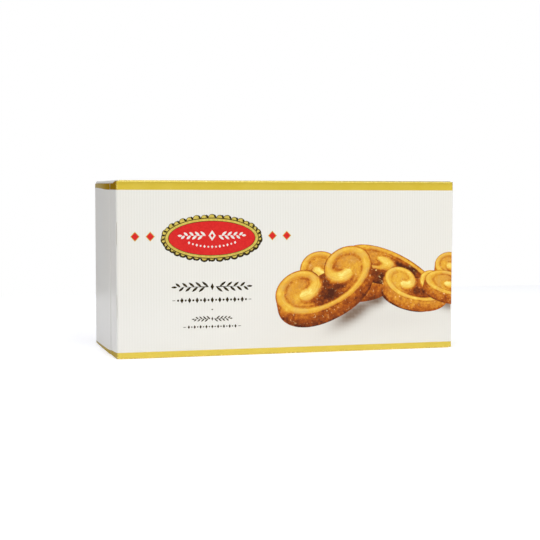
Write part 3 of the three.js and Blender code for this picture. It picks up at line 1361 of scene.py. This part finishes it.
def ornament_rows(x):
    large = leaf_row((x, LARGE_SPRAY_Z), 22.0, 4.6, 1.25, 0.5) + bead_row((x, LARGE_RULE_Z), 21.8, 3.6, 9)
    small = leaf_row((x, SMALL_SPRAY_Z), 11.2, 2.6, 0.7, 0.3) + bead_row((x, SMALL_RULE_Z), 16.0, 2.4, 8)
    return large + [ink_shape("dark_ink", oval((x, DOT_Z), 0.5, 0.32, 12))] + small


print("ornament rows:", len(ornament_rows(0.0)), "shapes")

# %% [markdown]
# ## Drawing a palmier
#
# A palmier is a sheet of dough rolled up from both sides and sliced, so its face is one ribbon of layers. It
# starts in the middle of one ear, winds outwards, runs over the rounded foot and winds into the other ear.
# Its middle line has a simple formula: round each ear the distance from the centre shrinks evenly with the
# turn, after a wide sweep from the foot, and faster once it is inside the ear.

# %% Ribbon of dough
EAR = (12.6, 4.0)  # middle of the right ear, when the slice is upright and about 54 mm wide
FOOT = -15.5  # height of the ribbon at the foot of the slice
EAR_REACH = 12.4  # from the middle of the ear to the ribbon
SHRINK = 0.75  # how much of that each radian of turn takes away
CURL = 0.62  # the same, for the faster curl inside the ear
CURL_TURN = 4.9  # where the curl starts
LAST_TURN = 6.9  # inner end of the ribbon
NOTCH_TURN = 5.1  # where the outline of the ear reaches the notch between the ears
RIBBON = 1.75  # half the width of the ribbon
TONGUE = 3.8  # the same at its inner end
RIM = 2.5  # from the middle of the ribbon to the outline of the slice
WIDENING_TURN = 1.4  # how much turn the ribbon takes to widen into its tongue
ROUND_TURN = 0.9  # how much turn its round end takes
NOTCH_GAP = 0.2  # the outline stays this far from the middle line between the ears
OUTLINE_STEPS = 44  # for half the outline

FOOT_REACH = math.hypot(EAR[0], EAR[1] - FOOT)
FOOT_DIRECTION = math.atan2(FOOT - EAR[1], -EAR[0])
SWEEP = FOOT_REACH - EAR_REACH
SWEEP_FADE = (FOOT_REACH / math.tan(FOOT_DIRECTION) - SHRINK) / SWEEP  # the ribbon leaves the foot level


def ribbon_reach(turn):
    curl = np.maximum(turn - CURL_TURN, 0)
    return EAR_REACH - SHRINK * turn + SWEEP * np.exp(-SWEEP_FADE * turn) - CURL * curl**1.5


def ribbon_half(turn):
    """Half the width of the ribbon, which widens into a tongue and ends round."""
    widening = np.clip((turn - CURL_TURN) / WIDENING_TURN, 0, 1)
    ending = np.clip((turn - LAST_TURN + 0.5) / ROUND_TURN, 0, 0.999)
    return (RIBBON + (TONGUE - RIBBON) * widening) * np.sqrt(1 - ending**2)


def ear_line(offset):
    """Both ears, as one line from the left ear over the foot to the right ear."""
    turns = np.linspace(0, NOTCH_TURN, OUTLINE_STEPS)
    reach = ribbon_reach(turns) + offset
    x = EAR[0] + reach * np.cos(FOOT_DIRECTION + turns)
    y = EAR[1] + reach * np.sin(FOOT_DIRECTION + turns)
    right = np.stack([x, y], 1)[x > NOTCH_GAP]
    left = right[::-1] * (-1, 1)
    return np.concatenate([left, right])


print(f"a slice at full size is {np.ptp(ear_line(RIM)[:, 0]):.0f} mm wide")

# %% [markdown]
# ## Where a point is on the slice
#
# To colour the slice, each point has to know which turn of the ribbon is nearest and how far off it lies. The
# ribbon passes a direction from the middle of the ear more than once, so the turn before the first full one
# and the turn after it are tried too, and the nearest wins.

# %% Nearest ribbon
BEFORE_FOOT = -0.6  # the ribbon is followed this far past the foot, into the other ear


def nearest_ribbon(points):
    """Offset from the nearest turn of the ribbon, positive outwards, that turn, and the way outwards."""
    mirror = np.where(points[:, 0] < 0, -1, 1)
    x, y = np.abs(points[:, 0]) - EAR[0], points[:, 1] - EAR[1]
    distance = np.hypot(x, y)
    first = np.mod(np.arctan2(y, x) - FOOT_DIRECTION, 2 * np.pi)
    offset, turn = np.full(len(points), np.inf), np.zeros(len(points))
    for candidate in (first - 2 * np.pi, first, first + 2 * np.pi):
        on_ribbon = (candidate > BEFORE_FOOT) & (candidate < LAST_TURN + 0.4)
        off = np.where(on_ribbon, distance - ribbon_reach(np.maximum(candidate, BEFORE_FOOT)), np.inf)
        closer = np.abs(off) - ribbon_half(candidate) < np.abs(offset) - ribbon_half(turn)
        offset = np.where(closer, off, offset)
        turn = np.where(closer, candidate, turn)
    outwards = np.stack([mirror * x, y], 1) / np.maximum(distance, 0.1)[:, None]
    return np.clip(offset, -12, 12), turn, outwards


def inside(points, ring):
    """Which points lie inside a ring: those from which a ray crosses it an odd number of times."""
    found = np.zeros(len(points), bool)
    for (ax, ay), (bx, by) in zip(ring, np.roll(ring, -1, 0)):
        crossed = (ay > points[:, 1]) != (by > points[:, 1])
        with np.errstate(divide="ignore", invalid="ignore"):
            at = ax + (points[:, 1] - ay) * (bx - ax) / (by - ay)
        found ^= crossed & (points[:, 0] < at)
    return found


middle_of_foot = nearest_ribbon(np.array([(0.0, FOOT)]))
print(f"the middle of the foot lies {abs(middle_of_foot[0][0]):.2f} mm off the ribbon's middle line")

# %% [markdown]
# ## Colour and relief of a palmier
#
# The picture needs only a rule for how brown each point is, from 0 for pale dough to 1 for dark caramel. The
# crest of the ribbon stands up and stays pale, its inner end palest of all. The glazed hollows beside it are
# golden, the gap between the ears is deep caramel, and the crust browns most near the tray. Light from above
# makes the upper side of each crest a little paler and its lower side a little darker, and that alone makes
# the flat drawing look round.

# %% Brownness
LAMP = np.array([-0.35, 0.94])  # the way towards the light, in the picture
CREST_BAKED = 0.31
TONGUE_PALER = 0.20
HOLLOW_BAKED = 0.42
GUTTER_BROWNER = 0.14  # right beside the ribbon
GAP_BROWNER = 0.14  # between the ears
CLEFT_BROWNER = 0.12  # where the ears touch
POCKET_BROWNER = 0.42  # the deep place under the cleft
RIM_BROWNER = 0.20
LIT_SIDE = 0.13
CRUST_BAKED = 0.66
CRUST_BROWNER = 0.08  # at the underside, rising evenly from the face
TRAY_BROWNER = 0.14  # the same, but only near the tray
GLAZE = 0.25  # how glazed the hollows are, while the crest is dull
FACE_DARKER = 0.4  # how much of a palmier's extra darkness reaches its face


def soft_step(value, low, high):
    share = np.clip((value - low) / (high - low), 0, 1)
    return share * share * (3 - 2 * share)


def face_baked(x, y, offset, turn, toward_lamp):
    """How brown the cut face is, and how much of the crest is there."""
    across = offset / ribbon_half(turn)
    crest = 1 - soft_step(np.abs(across), 0.45, 1.45)
    rim = soft_step(offset, 1.3, 2.6) * (turn < NOTCH_TURN)
    gap = np.exp(-((x / 9.0) ** 2))
    cleft = np.exp(-((x / 4.5) ** 2) - (np.maximum(np.abs(y) - 6.0, 0) / 3.0) ** 2)
    pocket = np.exp(-((x / 9.5) ** 2) - ((y + 9.0) / 5.0) ** 2)
    gutter = np.exp(-(((np.abs(across) - 1.7) / 0.45) ** 2))
    relief = toward_lamp * np.sin(np.pi * np.clip(across / 1.4, -1, 1))
    hollow = HOLLOW_BAKED + GUTTER_BROWNER * gutter + GAP_BROWNER * gap
    hollow = hollow + CLEFT_BROWNER * cleft + POCKET_BROWNER * pocket
    crown = CREST_BAKED - TONGUE_PALER * soft_step(turn, 5.0, 6.6)
    return hollow + (crown - hollow) * crest + RIM_BROWNER * rim - LIT_SIDE * relief, crest


def crust_baked(depth):
    """Depth goes from 0 at the face to 1 at the underside."""
    return CRUST_BAKED + CRUST_BROWNER * depth + TRAY_BROWNER * depth**3


print(f"the crust goes from {crust_baked(0):.2f} to {crust_baked(1):.2f} on the scale of brownness")

# %% [markdown]
# ## One printed palmier
#
# Tones are kept at the corners of the film and run smoothly from one to the next. So the outlines get extra
# corners along their long edges. A slice is turned with a two-by-two matrix.

# %% Finer outlines and turning
PICTURE_STEP = 0.65  # between the corners of the drawing


def finely(ring):
    """The same ring with corners added along its long edges."""
    points = []
    for a, b in zip(ring, np.roll(ring, -1, 0)):
        count = max(1, math.ceil(math.dist(a, b) / PICTURE_STEP))
        points += [tuple(a + (b - a) * k / count) for k in range(count)]
    return points


def turning(degrees):
    cos, sin = math.cos(math.radians(degrees)), math.sin(math.radians(degrees))
    return np.array([[cos, -sin], [sin, cos]])


print(f"corners of the drawing are at most {PICTURE_STEP} mm apart")

# %% [markdown]
# Each palmier in the picture is the same slice, turned, seen at a slant and leaned. Its crust is drawn by
# moving the outline of the face down and joining the two. How deep a point lies on the crust is found by
# moving the face down in twelve steps and noting the first that covers it.

# %% Palmier
CRUST_STEPS = 12
CRUST_GLAZE = 0.9  # how glazed the crust is right under the face
GLAZE_LOST = 0.8  # how much less it is at the underside
RIBBON_RUN = 11.0  # millimetres along the ribbon for one radian of turn
CRUST_RUN = 0.6  # the crust's streaks are longer than wide, too


class Palmier:
    """Thick is the way from the face to the underside. Darker makes the crust and the face browner."""

    def __init__(self, centre, size, turn, slant, lean, thick, darker):
        self.centre = np.array(centre)
        self.size = size
        self.matrix = size * turning(lean) @ np.diag([1, slant]) @ turning(turn)
        self.inverse = np.linalg.inv(self.matrix)
        self.thick = np.array(thick)
        self.darker = darker

    def outline(self, offset=RIM):
        return ear_line(offset) @ self.matrix.T + self.centre

    def face_look(self, points):
        x, y = ((points - self.centre) @ self.inverse.T).T
        offset, turn, outwards = nearest_ribbon(np.stack([x, y], 1))
        toward_lamp = outwards @ self.matrix.T @ LAMP / self.size
        baked, crest = face_baked(x, y, offset, turn, toward_lamp)
        baked = baked + FACE_DARKER * self.darker
        along = turn * RIBBON_RUN * self.size
        return np.stack([baked, GLAZE * (1 - crest), along, offset * self.size], 1)

    def crust_look(self, points):
        depth = np.ones(len(points))
        face = self.outline()
        for share in np.linspace(1, 0, CRUST_STEPS + 1):
            depth = np.where(inside(points - share * self.thick, face), share, depth)
        baked = crust_baked(depth) + self.darker
        across = depth * np.hypot(*self.thick)
        return np.stack([baked, CRUST_GLAZE - GLAZE_LOST * depth, points[:, 0] * CRUST_RUN, across], 1)

    def shapes(self):
        face = self.outline()
        rings = []
        for a, b in zip(face, np.roll(face, -1, 0)):
            step = b - a
            if step[0] * self.thick[1] < step[1] * self.thick[0]:  # only where the side faces us
                rings.append((np.array([a, a + self.thick, b + self.thick, b]), self.crust_look))
        rings.append((face + self.thick, self.crust_look))
        for offset in (RIM, RIBBON, -RIBBON):
            rings.append((self.outline(offset), self.face_look))
        return [ink_shape("pastry_print", finely(ring), look) for ring, look in rings]


sample = Palmier((0.0, 0.0), 1.0, 0, 0.7, 0, (0.0, -6.0), 0.0)
print("one palmier takes", len(sample.shapes()), "shapes of ink")

# %% [markdown]
# ## Finish of the pastry picture
#
# A colour ramp turns brownness into butter yellow, gold, brown or caramel, which is also how dough really
# colours in an oven.

# %% Colours of baking
BROWNING = [
    (0.00, colour(252, 234, 138)),
    (0.14, colour(245, 208, 92)),
    (0.30, colour(235, 180, 60)),
    (0.45, colour(220, 148, 42)),
    (0.60, colour(196, 110, 24)),
    (0.74, colour(162, 76, 12)),
    (0.88, colour(116, 50, 8)),
    (1.00, colour(80, 32, 6)),
]
BUTTER = colour(244, 212, 112)
SUGAR = colour(255, 220, 145)
print("steps of browning:", len(BROWNING))

# %% [markdown]
# Noises shift the brownness up and down. Blotches and a fine grain make the dough look unevenly baked, while
# streaks along the ribbon, from its own two measures, make it look layered. The glaze is uneven most where it
# is brown. Last come a wash of butter yellow over the palest dough and small grains of sugar on the glaze.

# %% Pastry ink
BLOTCH_SIZE = 4.0
BLOTCHES = 0.60  # how far blotches shift the brownness
GRAIN_SIZE = 0.6
GRAIN = 0.20
STREAK_WIDTH = 0.8
STREAK_SQUEEZE = 0.12  # length along the ribbon is squeezed by this, which makes the streaks long
GLAZE_SIZE = 1.5
BUTTER_SHARE = 0.45
SUGAR_SIZE = 1.3


def pastry_print():
    finish = Finish("pastry_print", specular=0.0)
    place = finish.place()
    baked, gloss = finish.chart("baked")
    along, across = finish.chart("layers")
    squeezed = finish.math("MULTIPLY", along, STREAK_SQUEEZE)
    ribbon = finish.node("ShaderNodeCombineXYZ", {0: squeezed, 1: across})
    grain = finish.noise(place, GRAIN_SIZE, 3)

    def around_zero(texture, amount):
        return finish.math("MULTIPLY", finish.math("SUBTRACT", texture, 0.5), amount)

    blotches = around_zero(finish.noise(place, BLOTCH_SIZE, 5), BLOTCHES)
    streaks = around_zero(finish.noise(ribbon, STREAK_WIDTH, 3), finish.steps(gloss, 0.05, 0.25, 0.42, 0.20))
    glaze = around_zero(finish.noise(place, GLAZE_SIZE, 3), finish.steps(baked, 0.30, 0.60, 0.05, 0.50))
    shift = finish.math("ADD", blotches, streaks)
    shift = finish.math("ADD", shift, around_zero(grain, GRAIN))
    shift = finish.math("ADD", shift, glaze)
    paint = finish.ramp(finish.math("ADD", baked, shift), BROWNING)
    pale = finish.steps(finish.noise(place, BLOTCH_SIZE, 3), 0.44, 0.64)
    pale = finish.math("MULTIPLY", pale, BUTTER_SHARE)
    pale = finish.math("MULTIPLY", pale, finish.steps(baked, 0.25, 0.60, 1.0, 0.0))
    paint = finish.mix(pale, paint, BUTTER)
    sugar = finish.steps(finish.noise(place, SUGAR_SIZE, 2), 0.63, 0.71)
    return finish.complete(
        Base_Color=finish.mix(finish.math("MULTIPLY", sugar, gloss), paint, SUGAR),
        Roughness=finish.math("MULTIPLY_ADD", grain, 0.1, 0.25),
        Coat_Weight=VARNISH,
        Coat_Roughness=VARNISH_ROUGH,
        Normal=finish.bump(grain, 0.008),
    )


INKS["pastry_print"] = pastry_print()

# %% [markdown]
# ## Layout of the picture
#
# Seven palmiers lie in a loose row, the later ones in the list over the earlier ones. The picture runs off
# the right side of the panel and a little way round its fold. Three windows hold the film to that area: the
# panel, and the two halves of the overlap on the fold, so that the film bends there.

# %% Picture
FOLD_OVERLAP = 0.55  # how far the picture runs on over the upright fold
PICTURE_LEFT = -14.0
PICTURE_LOW = 8.0
PICTURE_TOP = 62.0
PALMIERS = [  # middle, size, turn, slant, lean, thick, darker
    Palmier((21.9, 40.4), 0.78, -48, 0.78, 0, (0.5, -3.0), 0.05),
    Palmier((45.1, 38.2), 0.33, -30, 0.22, 14, (0.4, -9.0), -0.05),
    Palmier((61.0, 43.8), 1.22, 136, 0.38, -18, (-0.4, -7.6), 0.14),
    Palmier((19.5, 38.5), 1.11, 2, 0.73, 24, (1.4, -6.7), 0.02),
    Palmier((100.6, 48.2), 0.60, -5, 0.74, 12, (-0.5, -5.0), -0.08),
    Palmier((74.8, 36.4), 0.78, 20, 0.66, -20, (-1.6, -5.6), -0.17),
    Palmier((103.8, 36.6), 0.94, 14, 0.46, -8, (-1.4, -5.0), -0.06),
]


def picture():
    right = FLAT_END + FOLD_OVERLAP
    half_way = FLAT_END + FOLD_OVERLAP / 2
    shapes = []
    for a, b in ((PICTURE_LEFT, FLAT_END), (FLAT_END, half_way), (half_way, right)):
        window = np.array([(a, PICTURE_LOW), (b, PICTURE_LOW), (b, PICTURE_TOP), (a, PICTURE_TOP)])
        shapes.append(ink_shape(None, finely(window)))
    windows = len(shapes)
    for palmier in PALMIERS:
        shapes += palmier.shapes()
    return shapes, windows


pastries, windows = picture()
print(f"picture: {len(PALMIERS)} palmiers, {len(pastries)} shapes")

# %% [markdown]
# ## Printing the panels
#
# The same drawing goes on the front and the back. A `place` function takes a point of the drawing to the
# board: on the panel while it is flat, and round the upright fold for the last half millimetre.

# %% Places on a printed panel
def display_place(facing):
    flat = to_front if facing < 0 else to_back
    moves = INNER_ROUTE if facing < 0 else OUTER_ROUTE
    side = -facing
    corner = (side * FLAT_END, facing * DEPTH / 2, 0)
    fold = folded_strip(corner, (side, 0, 0), (0, facing, 0), (0, 0, 1), moves)

    def place(x, z, depth):
        if x <= FLAT_END:
            return flat(sheet_height(z), side * x, depth)
        return fold(x - FLAT_END, z, depth)

    return place


corner_of_picture = display_place(-1)(FLAT_END + FOLD_OVERLAP, PICTURE_LOW, 0.0)
print("the picture ends at", [round(float(value), 2) for value in corner_of_picture], "mm")

# %% [markdown]
# Each film is cut once and laid on both panels. Every ink of it becomes a piece of its own, so that a piece
# has just one finish. Loose points between the outlines let the film follow the swell of the panel.

# %% Print the front and back
EMBLEM_PLACE = (-44.1, 63.3)
MARK_STEP = 3.0  # between the loose points in the emblem and the rows
INSET = 2.0  # the loose points of the picture stay this far inside its left, lower and upper borders

films = {}


def place_prints(name, prints, place):
    for (flat, by_ink), shapes in prints:
        for ink, triangles in by_ink.items():
            piece = f"{name}_{ink}"
            films[piece] = film_piece(piece, flat, triangles, shapes, place, INKS[ink])


marks = emblem_group(EMBLEM_PLACE) + ornament_rows(EMBLEM_PLACE[0])
mark_dots = dots((-90, 12), (2, 78), MARK_STEP)
picture_low = (PICTURE_LEFT + INSET, PICTURE_LOW + INSET)
picture_dots = dots(picture_low, (FLAT_END, PICTURE_TOP - INSET), PICTURE_STEP)
display_prints = [
    (cut_film(marks, mark_dots), marks),
    (cut_film(pastries, picture_dots, windows), pastries),
]
for name, facing in (("front", -1), ("back", 1)):
    place_prints(name, display_prints, display_place(facing))
print("films on the front and the back:", len(films))

# %% [markdown]
# The top carries the emblem and its lozenges once more, in the middle, so that the pack can be told from
# above.

# %% Print the top
lid_marks = emblem_group((0.0, 0.0))
lid_print = (cut_film(lid_marks, dots((-50, -16), (50, 16), MARK_STEP)), lid_marks)
place_prints("top", [lid_print], lambda x, z, depth: top_place(-z, x, depth))
print("films in all:", len(films))

# %% [markdown]
# ## Printed shadow
#
# The pictured palmiers stand on the white of the board, so a soft grey-brown shadow is printed under them. It
# has no outline, so it isn't a film. Each corner of the panel gets a number, and the finish of the board
# darkens by it.

# %% Shadow under the pastries
DEEPEST_SHADOW = 0.9
SHADOWS = [  # middle, half sizes, turn, strength
    ((36.7, 21.7), (13, 4.2), 32, 1.00),
    ((51.2, 29.0), (5.5, 3.4), 25, 0.90),
    ((92.6, 24.8), (8, 3.0), -15, 0.85),
    ((48.0, 18.0), (50, 9.0), 0, 0.10),
]


def shadow(x, z):
    total = 0.0
    for centre, (half_length, half_width), turn, strength in SHADOWS:
        cos, sin = math.cos(math.radians(turn)), math.sin(math.radians(turn))
        right, up = x - centre[0], z - centre[1]
        along = (right * cos + up * sin) / half_length
        across = (up * cos - right * sin) / half_width
        total += strength * math.exp(-(along**2) - across**2)
    return min(DEEPEST_SHADOW, total)


for name, facing in (("panel_front", -1), ("panel_back", 1)):
    mesh = panels[name].data
    shade = mesh.attributes.new("shade", "FLOAT", "POINT")
    for number, vert in enumerate(mesh.vertices):
        shade.data[number].value = shadow(-facing * vert.co.x / MM, vert.co.z / MM)
print("printed shadows:", len(SHADOWS))

# %% [markdown]
# ## Handing over
#
# The carton has no moving part, so every piece rides on its one body, `root`. The board and the films stand
# for the solid carton, which stays behind them, hidden, for the physics.

# %% Hand the pieces to the frame
for piece in panels.values():
    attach(piece, "root")
for name, piece in films.items():
    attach(piece, "root")
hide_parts("carton")
print(f"handed over {len(panels)} pieces of board and {len(films)} films of ink")

# %% [markdown]
# ## Measuring
#
# Last, the boxes of the solid and of the modelled board are measured and printed. They should be the same,
# apart from the swell of the panels.

# %% Measure and finish
visual_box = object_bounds()
sizes = {"cad": [list(corner) for corner in cad_box], "visual": [list(corner) for corner in visual_box]}
for label, (low, high) in sizes.items():
    print(label, "box, mm:", [round((b - a) / MM, 2) for a, b in zip(low, high)])
